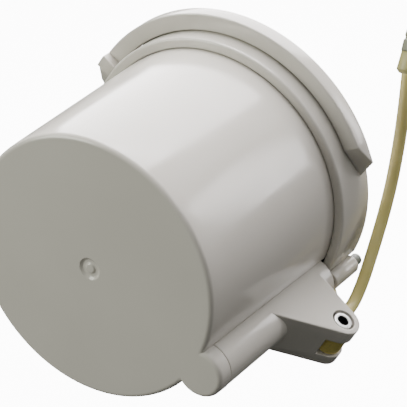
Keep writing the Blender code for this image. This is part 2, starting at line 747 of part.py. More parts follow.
def gear_plates(material):
    """The two steel plates, with holes for the axles, the shaft, the bolts and the lead."""
    for name, (front, back) in (("front_gear_plate", FRONT_PLATE), ("rear_gear_plate", REAR_PLATE)):
        made = turned(name, rod(PLATE_RADIUS, front, back), material, segments=56)
        for i, place in enumerate((FIRST_AXLE, SECOND_AXLE)):
            cut(made, bore(f"{name}_axle_{i}", AXLE_RADIUS + RUN, 30.0, 60.0, place))
        for i, (bearing, radius) in enumerate(PILLARS):
            cut(made, bore(f"{name}_bolt_{i}", 1.6, 30.0, 60.0, spot(bearing, radius)))
        cut(made, bore(f"{name}_shaft", 4.2, 30.0, 60.0))
        lead_height = -9.5 if name == "front_gear_plate" else -17.0
        cut(made, bore(f"{name}_lead_way", 7.0, 30.0, 60.0, (26.5, lead_height)))
        if name == "front_gear_plate":
            cut(made, bore("pinion_way", 6.4, 30.0, 60.0, MOTOR_AXIS))


def pillars(material):
    for i, (bearing, radius) in enumerate(PILLARS, 1):
        turned(f"gearbox_pillar_{i}", ring(1.6, 2.6, 40.5, 52.7), material, spot(bearing, radius), 16)


def gearbox_bolts(material):
    for i, (bearing, radius) in enumerate(PILLARS, 1):
        profile = [(0, 62.0), (1.25, 61.6), (1.25, 38.7), (2.3, 38.7), (2.3, 37.2), (0, 37.2)]
        turned(f"gearbox_bolt_{i}", profile, material, spot(bearing, radius), 16)


def motor(can_metal, cover_metal, plastic):
    """The geared motor: a drawn can, a flat cover with the shaft's way out and a terminal block."""
    profile = [(0, 35.6), (19.6, 35.6), (MOTOR_RADIUS, 35.2), (MOTOR_RADIUS, 17.2), (18.8, 16.0), (0, 16.0)]
    can = turned("motor_can", profile, can_metal, MOTOR_AXIS, 40)
    cut(can, bore("rotor_space", 1.9, 30.0, 40.0, MOTOR_AXIS))
    turned("motor_cover", ring(2.4, MOTOR_RADIUS - 0.2, 35.9, 38.7), cover_metal, MOTOR_AXIS, 40)
    block("motor_terminals", (-13.0, 7.0, -2.0), (-3.0, 15.7, 8.0), plastic, 0.5)


def output_shaft(material):
    """The output shaft, with two flats at the end that drives the valve."""
    profile = [(0, 75.8), (2.6, 75.8), (SHAFT_RADIUS, 75.4), (SHAFT_RADIUS, 39.0), (0, 39.0)]
    shaft = turned("output_shaft", profile, material, segments=32)
    for sign in (-1, 1):
        low, high = sorted((sign * 2.0, sign * 4.0))
        cut(shaft, block(f"shaft_flat_{sign}", (low, 73.4, -5.0), (high, 80.0, 5.0)))
    return shaft


def shaft_bearings(metal, rubber):
    turned("front_bush", ring(SHAFT_RADIUS + RUN, 3.9, 38.7, 41.0), metal, segments=28)
    flanged = [
        (4.6, BULKHEAD[1]),
        (4.6, BULKHEAD[0] - GAP),
        (6.5, BULKHEAD[0] - GAP),
        (6.5, 64.8),
        (SHAFT_RADIUS + RUN, 64.8),
        (SHAFT_RADIUS + RUN, BULKHEAD[1]),
    ]
    turned("rear_bush", flanged, metal, segments=28)
    turned("shaft_seal", ring(3.2, 5.7, 69.7, 71.3), rubber, segments=28)


# Switches


def cam_radius(bearing):
    """The cam's radius at a bearing: two even quarter-turn slopes between a low and a high radius."""
    rise = CAM_LIFT / 90.0
    margin = 12.0
    b = (bearing + 180.0) % 360.0 - 180.0
    if -margin <= b <= 90.0 + margin:
        return CAM_LOW + rise * min(90.0 + margin, 90.0 - b + margin) - rise * margin
    if -180.0 <= b <= -90.0 + margin or b >= 180.0 - margin:
        return CAM_LOW + rise * ((b + 180.0) if b < 0 else b - 180.0)
    return CAM_LOW + rise * ((90.0 + margin) if b < 0 else -margin)


def switch_cam(material):
    outline = [spot(b, cam_radius(b)) for b in range(-180, 180, 6)]
    cam = plate("switch_cam", [outline], 56.3, 59.7, material)
    return cut(cam, bore("cam_bore", SHAFT_RADIUS + RUN, 50.0, 65.0))


def lever_pivot(side):
    """Where a lever turns: beside the cam and below the contact point, on the +X or the -X side."""
    return (side * (CAM_LOW + 0.55), -12.0)


def limit_switch(name, side, case, blade, button):
    """A switch body with an arm under its lever's pivot, the lever and the button it presses."""
    front, back = SWITCH_DEPTHS
    body = block(f"{name}_switch", *side_box(side, (11.2, front, -15.6), (17.4, back, 6.0)), case, 0.3)
    foot = block(f"{name}_foot", *side_box(side, (7.3, front + 1.0, -15.4), (12.0, back - 1.0, -13.6)))
    join(body, foot)
    level = y_at((front + back) / 2)
    button_z = -5.0 * MM
    way_ends = ((side * x, level, button_z) for x in (0.0105, 0.0150))
    cut(body, cylinder(f"{name}_button_way", 1.0, *way_ends, sides=16))
    rest = 0.0 if side > 0 else LEVER_SWING
    pivot = lever_pivot(side)
    lever = block(f"{name}_lever", *side_box(side, (8.35, 56.5, -12.0), (8.75, 59.5, 3.0)), blade)
    join(lever, bore(f"{name}_eye", 0.9, 56.5 + 0.02, 59.5 - 0.02, pivot))
    if rest:
        turn = Matrix.Translation(Vector((pivot[0] * MM, 0, pivot[1] * MM)))
        swing = turn @ Matrix.Rotation(math.radians(-rest), 4, "Y") @ turn.inverted()
        lever.matrix_world = swing @ lever.matrix_world
        eye = bpy.data.objects[f"{name}_eye"]
        bpy.context.view_layer.update()
        eye.matrix_world = swing @ eye.matrix_world
    tip = 9.15 + 7.0 * math.tan(math.radians(rest))
    ends = ((side * x * MM, level, button_z) for x in (tip, tip + 3.8))
    cylinder(f"{name}_button", 0.8, *ends, button, 16)


def side_box(side, low, high):
    """The corners of a box on the +X side, or mirrored to the -X side."""
    xs = sorted((side * low[0], side * high[0]))
    return (xs[0], low[1], low[2]), (xs[1], high[1], high[2])


def switch_screws(material):
    """A screw through each switch into the rear gear plate."""
    for i, (name, side) in enumerate((("open_limit", 1), ("closed_limit", -1)), 1):
        place = (side * 14.6, 3.4)
        profile = [(0, 62.4), (1.7, 62.4), (1.7, 61.2), (1.0, 61.2), (1.0, 54.6), (0, 54.5)]
        turned(f"switch_screw_{i}", profile, material, place, 12)
        cut(bpy.data.objects[f"{name}_switch"], bore(f"{name}_hole", 1.25, 50.0, 65.0, place))


# Electrics


def electrics(board, plastic, brass, sleeve):
    block("circuit_board", (19.5, 9.0, -9.0), (21.1, 36.0, 23.0), board)
    terminal = block("terminal_block", (21.4, 20.0, -10.5), (29.8, 34.0, 8.0), plastic, 0.3)
    for i in range(3):
        height = -7.0 + 5.8 * i
        way_ends = ((x, y_at(27.0), height * MM) for x in (0.0262, 0.0310))
        cut(terminal, cylinder(f"terminal_way_{i}", 1.9, *way_ends, sides=16))
        start_point = (0.0265, y_at(27.0), height * MM)
        end_point = (0.0288, y_at(27.0), height * MM)
        cylinder(f"terminal_screw_{i + 1}", 1.6, start_point, end_point, brass, 16)
    cylinder("motor_capacitor", 3.2, (0.0157, y_at(11.0), 0.0160), (0.0157, y_at(29.0), 0.0160), sleeve, 24)


def build():
    start()
    grey = paint("warm_grey_plastic", (0.62, 0.60, 0.56), 0.32)
    grey_base = paint("base_grey_plastic", (0.55, 0.54, 0.50), 0.36)
    steel = paint("zinc_steel", (0.62, 0.62, 0.62), 0.3, 1.0)
    screw_steel = paint("screw_steel", (0.45, 0.45, 0.45), 0.3, 1.0)
    brass = paint("brass", (0.72, 0.53, 0.22), 0.35, 1.0)
    black = paint("black_plastic", (0.03, 0.03, 0.03), 0.5)
    rubber = paint("black_rubber", (0.02, 0.02, 0.02), 0.8)
    nylon = paint("white_nylon", (0.80, 0.79, 0.74), 0.45)
    lead = paint("amber_lead", (0.66, 0.56, 0.30), 0.35)
    olive = paint("olive_plastic", (0.42, 0.40, 0.20), 0.4)
    green_grey = paint("grey_green_plastic", (0.21, 0.22, 0.16), 0.45)
    board = paint("board_green", (0.03, 0.16, 0.06), 0.4)
    pot_cover(grey)
    cover_screws(steel)
    cover_seal(rubber)
    cover_bolt(screw_steel)
    base_housing(grey_base)
    back_plate(grey_base)
    back_plate_screws(steel)
    locking_collar(grey)
    clamp_arm(grey)
    clamp_nut(brass)
    clamp_screw(screw_steel)
    rear_sleeve(grey)
    retaining_pin(green_grey)
    inner_lead(lead)
    lead_bush(rubber)
    supply_lead(lead)
    lead_ferrule(olive)
    lead_connector(green_grey)
    gear_train(nylon, brass)
    axles(steel)
    motor_shaft(steel)
    gear_plates(steel)
    pillars(steel)
    gearbox_bolts(steel)
    motor(steel, steel, black)
    output_shaft(screw_steel)
    shaft_bearings(brass, rubber)
    switch_cam(nylon)
    limit_switch("open_limit", 1, black, steel, nylon)
    limit_switch("closed_limit", -1, black, steel, nylon)
    switch_screws(steel)
    electrics(board, nylon, brass, black)


build()
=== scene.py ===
"""Motorised actuator head: the looks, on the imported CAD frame.

Sizes are in millimetres here, and the helpers turn them into metres.
A depth is a distance behind the pot's closed end. A bearing is an angle about Y, from 0 at the top,
clockwise when facing +Y. The row frame's origin is the centre of the rear mounting face.
"""

import json
import math

import bmesh
import bpy
from mathutils import Matrix, Vector


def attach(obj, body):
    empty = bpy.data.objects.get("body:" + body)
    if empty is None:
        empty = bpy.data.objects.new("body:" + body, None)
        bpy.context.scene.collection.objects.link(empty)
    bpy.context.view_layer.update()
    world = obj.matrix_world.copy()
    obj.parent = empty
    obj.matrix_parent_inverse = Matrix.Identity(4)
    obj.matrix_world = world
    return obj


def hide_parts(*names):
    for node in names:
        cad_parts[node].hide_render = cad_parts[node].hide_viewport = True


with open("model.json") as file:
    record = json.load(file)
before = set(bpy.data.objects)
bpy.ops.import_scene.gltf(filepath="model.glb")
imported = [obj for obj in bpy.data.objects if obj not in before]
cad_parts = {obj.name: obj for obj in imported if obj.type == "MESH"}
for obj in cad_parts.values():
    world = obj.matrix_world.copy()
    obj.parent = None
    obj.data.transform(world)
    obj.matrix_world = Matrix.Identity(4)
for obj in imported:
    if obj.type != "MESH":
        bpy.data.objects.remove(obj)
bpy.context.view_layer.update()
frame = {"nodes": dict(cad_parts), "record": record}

MM = 0.001
HEAD_DEPTH = 77.3

# Casing
POT_FRONT_RADIUS = 40.0
POT_REAR_RADIUS = 41.15
POT_REAR = 65.0
POT_SLOPE = (POT_REAR_RADIUS - POT_FRONT_RADIUS) / POT_REAR
POT_WALL = 2.4
FACE_EDGE = 1.5
CAP_BACK = 4.9
BASE_RADIUS = 44.28
BASE_SEAT_RADIUS = 41.22
BASE_INNER_RADIUS = 40.5
BASE_FRONT = 62.33
BULKHEAD = (66.3, 69.3)
BACK_PLATE = (73.4, 77.3)
BACK_PLATE_RADIUS = 40.2
SHAFT_HOLE_RADIUS = 4.9
SHAFT_SEAL_RADII = (6.0, 8.5)
BOLT_POST_CIRCLE = 39.6
NECK_OPENING_RADIUS = 27.5
BACK_SCREWS = (81.3, 203.6, 278.8)
BACK_SCREW_CIRCLE = 37.2

# Locking collar
COLLAR_RADIUS = 49.7
COLLAR_DEPTHS = (68.0, 73.25)
COLLAR_BEARINGS = (-63.0, 65.5)
COLLAR_RAMP = 10.0
COLLAR_SKEW = 2.5
COLLAR_TRAVEL = 20.0
COLLAR_WEB = 42.0

# Clamp arm
ARM_BEARING = 121.6
ARM_CENTRE = (35.47, -21.83)
ARM_RADIUS = 7.5
ARM_DEPTHS = (5.3, 62.0)
ARM_TILT = 30.0
LUG_BACK = 56.1
LUG_NOSE = (48.8, 16.0)
LUG_NOSE_RADIUS = 5.3
CLAMP_SCREW = (48.6, 16.2)
SCREW_HEAD = (4.5, 7.2)
SLEEVE_OFFSET = (4.2, 2.6)
SLEEVE_RADIUS = 2.85
SLEEVE_DEPTHS = (62.3, 74.6)
BOLT_HOLE_RADIUS = 1.6

# Shaft and clearance
SHAFT_RADIUS = 3.0
GAP = 0.3

# Leads
LEAD_RADIUS = 1.85
LEAD_LEVEL = -4.7
LEAD_SPACING = 1.1
INNER_LEAD_OUT = 10.0
OUTER_LEAD_OUT = 14.0
LEAD_BEND = 11.3
LEAD_TURN = 58.5
LEAD_APEX = LEAD_TURN + LEAD_BEND
LEAD_ROUTE = (
    (47.6, 53.9, -28.83),
    (47.6, 57.3, -28.83),
    (47.6, 60.8, -28.6),
    (47.8, 64.6, -26.7),
    (48.0, 68.6, -22.3),
    (48.0, 72.4, -17.0),
    (48.0, 75.9, -11.6),
    (48.0, 79.0, -6.4),
    (48.0, 81.7, -1.2),
    (48.0, 84.1, 4.4),
    (48.0, 86.8, 13.0),
    (48.0, 88.8, 21.8),
    (48.0, 90.1, 30.0),
    (48.0, 90.9, 36.0),
)
CONNECTOR_LEAN = (0.0, 0.65, 1.0)


# Places


def y_at(depth):
    return (depth - HEAD_DEPTH) * MM


def spot(bearing, radius):
    turn = math.radians(bearing)
    return (radius * math.sin(turn), radius * math.cos(turn))


def arm_directions():
    tilt = math.radians(ARM_TILT)
    return Vector((math.cos(tilt), 0.0, -math.sin(tilt))), Vector((math.sin(tilt), 0.0, math.cos(tilt)))


def arm_point(depth, outward, upward=0.0):
    out, up = arm_directions()
    centre = Vector((ARM_CENTRE[0], 0.0, ARM_CENTRE[1])) * MM
    return centre + Vector((0.0, y_at(depth), 0.0)) + out * outward * MM + up * upward * MM


def sleeve_place():
    at = arm_point(0.0, *SLEEVE_OFFSET) / MM
    return (at.x, at.z)


# Camera


def place_camera():
    data = bpy.data.cameras.new("camera")
    data.lens = 212.3
    data.sensor_width = 36.0
    data.clip_start = 0.01
    data.dof.use_dof = False
    camera = bpy.data.objects.new("camera", data)
    bpy.context.scene.collection.objects.link(camera)
    right = Vector((0.83826, 0.54527, 0.0))
    up = Vector((-0.26112, 0.40143, 0.87788))
    forward = Vector((-0.47868, 0.73589, -0.47888))
    camera.matrix_world = Matrix((right, up, -forward)).transposed().to_4x4()
    camera.location = (0.33722, -0.53828, 0.33160)
    bpy.context.scene.camera = camera


# Meshes


def mesh_object(name, work):
    bmesh.ops.recalc_face_normals(work, faces=work.faces)
    mesh = bpy.data.meshes.new(name)
    work.to_mesh(mesh)
    work.free()
    thing = bpy.data.objects.new(name, mesh)
    bpy.context.scene.collection.objects.link(thing)
    return thing


def rounded(corners, closed=True, steps=5):
    """Replaces each corner (a, b, radius) of an outline with an arc of its radius."""
    points = []
    count = len(corners)
    for i, (a, b, radius) in enumerate(corners):
        here = Vector((a, b))
        if not radius or (not closed and i in (0, count - 1)):
            points.append((a, b))
            continue
        before = Vector(corners[i - 1][:2]) - here
        after = Vector(corners[(i + 1) % count][:2]) - here
        half = before.angle(after) / 2
        reach = min(radius / math.tan(half), before.length * 0.49, after.length * 0.49)
        size = reach * math.tan(half)
        middle = here + (before.normalized() + after.normalized()).normalized() * (size / math.sin(half))
        first = here + before.normalized() * reach - middle
        sweep = first.angle_signed(here + after.normalized() * reach - middle)
        for k in range(steps + 1):
            turn = Matrix.Rotation(-sweep * k / steps, 2)
            spoke = middle + turn @ first
            points.append((spoke.x, spoke.y))
    return points


def upright(start, along):
    """The frame at a start whose third axis points along a direction."""
    return Matrix.Translation(start) @ Vector((0, 0, 1)).rotation_difference(along).to_matrix().to_4x4()


def skin(name, rings, closed=False, capped=False):
    """Joins rings of places into one surface. A ring of one place closes an end, as does a flat cap."""
    work = bmesh.new()
    lines = [[work.verts.new(place) for place in ring] for ring in rings]
    pairs = list(zip(lines, lines[1:]))
    if closed and len(lines[0]) > 1 and len(lines[-1]) > 1:
        pairs.append((lines[-1], lines[0]))
    for one, two in pairs:
        sides = max(len(one), len(two))
        for k in range(sides if sides > 1 else 0):
            n = (k + 1) % sides
            if len(one) == 1:
                work.faces.new((one[0], two[k], two[n]))
            elif len(two) == 1:
                work.faces.new((one[k], two[0], one[n]))
            else:
                work.faces.new((one[k], two[k], two[n], one[n]))
    if capped:
        work.faces.new(lines[0])
        work.faces.new(list(reversed(lines[-1])))
    return mesh_object(name, work)


def lathe(name, profile, segments=192, at=(0.0, 0.0), closed=True):
    """Turns (radius, depth) points about an axis along Y. A point on the axis closes an end."""
    rings = []
    for radius, depth in profile:
        count = segments if radius > 1e-6 else 1
        around = [spot(360.0 * k / count, radius) for k in range(count)]
        rings.append([((at[0] + x) * MM, y_at(depth), (at[1] + z) * MM) for x, z in around])
    return skin(name, rings, closed)


def turned_up(name, profile, place, sides=96, start=0.0):
    """Turns (radius, height) points about the third axis of place."""
    rings = []
    for radius, height in profile:
        count = sides if radius > 1e-6 else 1
        turns = [math.tau * (k + start) / count for k in range(count)]
        around = [(radius * math.cos(t), radius * math.sin(t)) for t in turns]
        rings.append([place @ Vector((x * MM, y * MM, height * MM)) for x, y in around])
    return skin(name, rings)


def rod(radius, front, back):
    return [(0, back), (radius, back), (radius, front), (0, front)]


def bore(radius, front, back, at=(0.0, 0.0), segments=48):
    return lathe("tool", rod(radius, front, back), segments, at)


def prism(name, outline, low, high, place):
    """A solid with a flat outline, between two heights over the plane of place."""
    rows = [[place @ Vector((a * MM, b * MM, height * MM)) for a, b in outline] for height in (low, high)]
    return skin(name, rows, capped=True)


def across(name, outline, front, back):
    """A flat piece across Y, outlined in X and Z."""
    place = Matrix(((1, 0, 0, 0), (0, 0, 1, 0), (0, 1, 0, 0), (0, 0, 0, 1)))
    return prism(name, outline, front - HEAD_DEPTH, back - HEAD_DEPTH, place)


def on_arm(name, outline, low, high):
    """A flat piece of the arm, outlined in depth and outward distance, between two upward distances."""
    out, up = arm_directions()
    turn = Matrix((Vector((0, 1, 0)), out, up)).transposed().to_4x4()
    place = Matrix.Translation(arm_point(0.0, 0.0)) @ turn
    return prism(name, outline, low, high, place)


def bar(name, radius, start, end, sides=64, edge=0.0):
    """A round bar between two points, with its ends' edges rounded."""
    start, end = Vector(start), Vector(end)
    along = end - start
    length = along.length / MM
    corners = [(0, 0, 0), (radius, 0, edge), (radius, length, edge), (0, length, 0)]
    return turned_up(name, rounded(corners, closed=False, steps=4), upright(start, along), sides, 0.5)


def soften(thing, width, segments=3, angle=40):
    """Rounds a piece's sharp edges."""
    bevel = thing.modifiers.new("edges", "BEVEL")
    bevel.width = width * MM
    bevel.segments = segments
    bevel.limit_method = "ANGLE"
    bevel.angle_limit = math.radians(angle)
    settle(thing)
    return thing


def settle(thing):
    """Applies a piece's modifiers."""
    bpy.context.view_layer.update()
    shaped = thing.evaluated_get(bpy.context.evaluated_depsgraph_get())
    mesh = bpy.data.meshes.new_from_object(shaped)
    thing.modifiers.clear()
    old = thing.data
    thing.data = mesh
    mesh.name = thing.name
    bpy.data.meshes.remove(old)


def combine(thing, tools, operation):
    for i, tool in enumerate(tools):
        boolean = thing.modifiers.new(f"tool_{i}", "BOOLEAN")
        boolean.operation = operation
        boolean.solver = "EXACT"
        boolean.object = tool
    settle(thing)
    for tool in tools:
        mesh = tool.data
        bpy.data.objects.remove(tool, do_unlink=True)
        bpy.data.meshes.remove(mesh)
    return thing


def cut(thing, *tools):
    return combine(thing, tools, "DIFFERENCE")


def join(thing, *tools):
    return combine(thing, tools, "UNION")


def show(thing, name, node, slot, finish=None, body="casing", smooth=32):
    """Names a finished piece, paints it and puts it on its CAD body in place of its node."""
    thing.name = name
    thing.data.name = name
    thing.data.materials.clear()
    thing.data.materials.append(paint[finish or slot])
    if smooth:
        thing.data.shade_smooth()
        thing.data.set_sharp_from_angle(angle=math.radians(smooth))
    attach(thing, body)
    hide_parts(node)
    return thing


# Materials


class Paint:
    """A node material made of noise-driven colour, roughness and bump on one Principled shader."""

    def __init__(self, name, roughness, metallic=0.0):
        self.material = bpy.data.materials.new(name)
        self.material.use_nodes = True
        self.tree = self.material.node_tree
        self.shader = self.tree.nodes["Principled BSDF"]
        self.shader.inputs["Metallic"].default_value = metallic
        self.shader.inputs["Roughness"].default_value = roughness
        self.coordinates = self.tree.nodes.new("ShaderNodeTexCoord").outputs["Object"]
        self.normal = None

    def link(self, one, two):
        self.tree.links.new(one, two)

    def noise(self, scale, detail=3.0, stretch=(1.0, 1.0, 1.0)):
        mapping = self.tree.nodes.new("ShaderNodeMapping")
        mapping.inputs["Scale"].default_value = stretch
        texture = self.tree.nodes.new("ShaderNodeTexNoise")
        texture.inputs["Scale"].default_value = scale
        texture.inputs["Detail"].default_value = detail
        self.link(self.coordinates, mapping.inputs["Vector"])
        self.link(mapping.outputs["Vector"], texture.inputs["Vector"])
        return texture.outputs["Fac"]

    def spread(self, value, low, high, start=0.3, end=0.7):
        """Maps a noise value to a range."""
        node = self.tree.nodes.new("ShaderNodeMapRange")
        node.inputs["From Min"].default_value = start
        node.inputs["From Max"].default_value = end
        node.inputs["To Min"].default_value = low
        node.inputs["To Max"].default_value = high
        self.link(value, node.inputs["Value"])
        return node.outputs["Result"]

    def mix(self, factor, one, two):
        node = self.tree.nodes.new("ShaderNodeMix")
        node.data_type = "RGBA"
        self.link(factor, node.inputs["Factor"])
        for socket, value in ((node.inputs["A"], one), (node.inputs["B"], two)):
            if isinstance(value, tuple):
                socket.default_value = (*value, 1.0)
            else:
                self.link(value, socket)
        return node.outputs["Result"]

    def colour(self, value):
        self.link(value, self.shader.inputs["Base Color"])
        return self

    def mottle(self, scale, detail, one, two):
        """Colours the surface with two tones in slow spots."""
        return self.colour(self.mix(self.spread(self.noise(scale, detail), 0.0, 1.0), one, two))

    def rough(self, value):
        self.link(value, self.shader.inputs["Roughness"])
        return self

    def rounding(self, radius):
        """Rounds the shading of sharp edges over a radius in metres."""
        node = self.tree.nodes.new("ShaderNodeBevel")
        node.samples = 6
        node.inputs["Radius"].default_value = radius
        self.normal = node.outputs["Normal"]
        self.link(self.normal, self.shader.inputs["Normal"])
        return self

    def bump(self, height, strength, distance):
        node = self.tree.nodes.new("ShaderNodeBump")
        node.inputs["Strength"].default_value = strength
        node.inputs["Distance"].default_value = distance
        self.link(height, node.inputs["Height"])
        if self.normal:
            self.link(self.normal, node.inputs["Normal"])
        self.normal = node.outputs["Normal"]
        self.link(self.normal, self.shader.inputs["Normal"])
        return self

    def edges(self, radius):
        """1 on edges that stand out or turn in, 0 on flat stretches."""
        bevel = self.tree.nodes.new("ShaderNodeBevel")
        bevel.samples = 6
        bevel.inputs["Radius"].default_value = radius
        geometry = self.tree.nodes.new("ShaderNodeNewGeometry")
        dot = self.tree.nodes.new("ShaderNodeVectorMath")
        dot.operation = "DOT_PRODUCT"
        self.link(bevel.outputs["Normal"], dot.inputs[0])
        self.link(geometry.outputs["Normal"], dot.inputs[1])
        return self.spread(dot.outputs["Value"], 1.0, 0.0, 0.80, 0.995)


def moulded(name, colour, dark, roughness, grain=0.05):
    """Satin moulded plastic: slow shifts of tone, handling marks in the gloss and a very fine grain."""
    paint = Paint(name, roughness)
    paint.shader.inputs["IOR"].default_value = 1.5
    paint.shader.inputs["Specular IOR Level"].default_value = 0.5
    tone = paint.mix(paint.spread(paint.noise(38.0, 4.0), 0.0, 1.0), colour, dark)
    worn = tuple(min(1.0, c * 1.10) for c in colour)
    paint.colour(paint.mix(paint.edges(0.0006), tone, worn))
    marks = paint.noise(160.0, 6.0, (1.0, 0.35, 1.0))
    paint.rough(paint.spread(marks, roughness - 0.05, roughness + 0.06))
    paint.rounding(0.0003)
    paint.bump(paint.noise(55.0, 2.0), 0.10, 0.0004)
    paint.bump(paint.noise(5200.0, 2.0), grain, 0.00002)
    return paint.material


def metal(name, colour, dark, roughness, stretch=(1.0, 1.0, 1.0), grain=0.12, metallic=1.0):
    """Plated or turned metal with fine marks."""
    paint = Paint(name, roughness, metallic)
    paint.mottle(300.0, 5.0, colour, dark)
    marks = paint.noise(1800.0, 4.0, stretch)
    paint.rough(paint.spread(marks, roughness - 0.08, roughness + 0.12))
    paint.rounding(0.0002)
    paint.bump(marks, grain, 0.00003)
    return paint.material


def sheath(name, colour, dark, roughness):
    """A glossy, slightly cloudy extruded sheath."""
    paint = Paint(name, roughness)
    paint.shader.inputs["IOR"].default_value = 1.5
    paint.shader.inputs["Subsurface Weight"].default_value = 0.25
    paint.shader.inputs["Subsurface Radius"].default_value = (0.0012, 0.0010, 0.0005)
    paint.shader.inputs["Subsurface Scale"].default_value = 1.0
    paint.mottle(120.0, 3.0, colour, dark)
    paint.rough(paint.spread(paint.noise(400.0, 4.0), roughness - 0.06, roughness + 0.10))
    paint.bump(paint.noise(700.0, 3.0), 0.15, 0.00006)
    return paint.material


def soft_black(name, roughness):
    paint = Paint(name, roughness)
    paint.mottle(200.0, 4.0, (0.022, 0.022, 0.022), (0.045, 0.044, 0.042))
    paint.rough(paint.spread(paint.noise(900.0, 4.0), roughness - 0.08, roughness + 0.10))
    paint.bump(paint.noise(3000.0, 2.0), 0.25, 0.00003)
    return paint.material


def board_green(name):
    paint = Paint(name, 0.35)
    paint.mottle(500.0, 2.0, (0.02, 0.13, 0.05), (0.04, 0.20, 0.08))
    paint.rough(paint.spread(paint.noise(700.0, 3.0), 0.28, 0.45))
    paint.bump(paint.noise(1500.0, 2.0), 0.2, 0.00004)
    return paint.material


def paints():
    """Every finish by its name. A record slot's finish has the slot's name."""
    even, turned = (1.0, 1.0, 1.0), (1.0, 4.0, 1.0)
    kinds = (
        (moulded, "warm_grey_plastic", (0.600, 0.570, 0.520), (0.578, 0.548, 0.498), 0.16),
        (moulded, "base_grey_plastic", (0.590, 0.562, 0.512), (0.566, 0.538, 0.490), 0.18),
        (metal, "zinc_steel", (0.72, 0.72, 0.71), (0.60, 0.60, 0.60), 0.28),
        (metal, "screw_steel", (0.78, 0.77, 0.75), (0.62, 0.62, 0.61), 0.24),
        (metal, "bright_steel", (0.93, 0.92, 0.90), (0.86, 0.85, 0.84), 0.34, even, 0.03),
        # A near-black steel used only as painted shade inside the clamp screw's socket.
        (metal, "painted_socket_shade", (0.06, 0.06, 0.06), (0.03, 0.03, 0.03), 0.5, even, 0.03),
        (metal, "brass", (0.92, 0.78, 0.24), (0.80, 0.66, 0.18), 0.30, turned, 0.12, 0.35),
        (soft_black, "black_plastic", 0.45),
        (soft_black, "black_rubber", 0.75),
        (moulded, "white_nylon", (0.78, 0.77, 0.72), (0.72, 0.71, 0.66), 0.42, 0.08),
        (sheath, "amber_lead", (0.66, 0.58, 0.25), (0.58, 0.51, 0.19), 0.15),
        (moulded, "olive_plastic", (0.36, 0.33, 0.13), (0.28, 0.26, 0.11), 0.38),
        (moulded, "grey_green_plastic", (0.20, 0.205, 0.14), (0.16, 0.165, 0.12), 0.45),
        (moulded, "pin_green", (0.12, 0.125, 0.10), (0.09, 0.095, 0.08), 0.5),
        (board_green, "board_green"),
    )
    return {name: kind(name, *looks) for kind, name, *looks in kinds}


# Casing


def cap_outline(inset, big=216, small=80):
    """The outline of the pot's face and the lobe together, in X and Z, moved in by an inset."""
    pot_radius, lobe_radius = POT_FRONT_RADIUS - inset, ARM_RADIUS - inset
    reach = math.hypot(*ARM_CENTRE)
    heading = math.degrees(math.atan2(*ARM_CENTRE))
    along = (reach**2 + pot_radius**2 - lobe_radius**2) / (2 * reach)
    half = math.degrees(math.acos(along / pot_radius))
    turn = math.degrees(math.acos((reach - along) / lobe_radius))
    points = [spot(heading + half + (360.0 - 2 * half) * k / big, pot_radius) for k in range(big)]
    for k in range(small):
        x, z = spot(heading + 180.0 + turn + (360.0 - 2 * turn) * k / small, lobe_radius)
        points.append((ARM_CENTRE[0] + x, ARM_CENTRE[1] + z))
    return points


def cap(back):
    """The pot's closed end with the lobe, from its rounded front edge back to a depth."""
    rows = [(-POT_SLOPE * back, back)]
    steps = 8
    for k in range(steps + 1):
        bend = math.radians(90.0 * k / steps)
        rows.append((FACE_EDGE * (1 - math.cos(bend)), FACE_EDGE * (1 - math.sin(bend))))
    places = [[(x * MM, y_at(depth), z * MM) for x, z in cap_outline(inset)] for inset, depth in rows]
    return skin("cap", places, capped=True)


def pot():
    """The moulded pot, with its dimple, the lobe over the arm's end and the trough that the arm lies in."""
    corners = [
        (POT_REAR_RADIUS - POT_WALL, POT_REAR, 0.3),
        (POT_REAR_RADIUS, POT_REAR, 0.4),
        (POT_FRONT_RADIUS + POT_SLOPE * CAP_BACK, CAP_BACK, 0.0),
        (POT_FRONT_RADIUS - 1.0, 4.0, 0.0),
        (0.0, 4.0, 0.0),
    ]
    profile = [(0.0, 6.0), (POT_FRONT_RADIUS - POT_WALL, 6.0), *rounded(corners, closed=False, steps=6)]
    made = lathe("pot", profile, 256)
    cut(made, bore(ARM_RADIUS + GAP, ARM_DEPTHS[0] - GAP, POT_REAR + 9, ARM_CENTRE, 128))
    join(made, cap(CAP_BACK))
    dimple = [(0, -1.0, 0), (3.9, -1.0, 0), (3.35, 0.02, 0.3), (2.6, 0.6, 0.5)]
    dimple += [(1.7, 0.6, 0.3), (1.25, 0.15, 0.3), (0, 0.1, 0)]
    cut(made, lathe("dimple", rounded(dimple, closed=False), 96))
    return show(made, "moulded_pot", "pot_cover", "warm_grey_plastic", smooth=28)


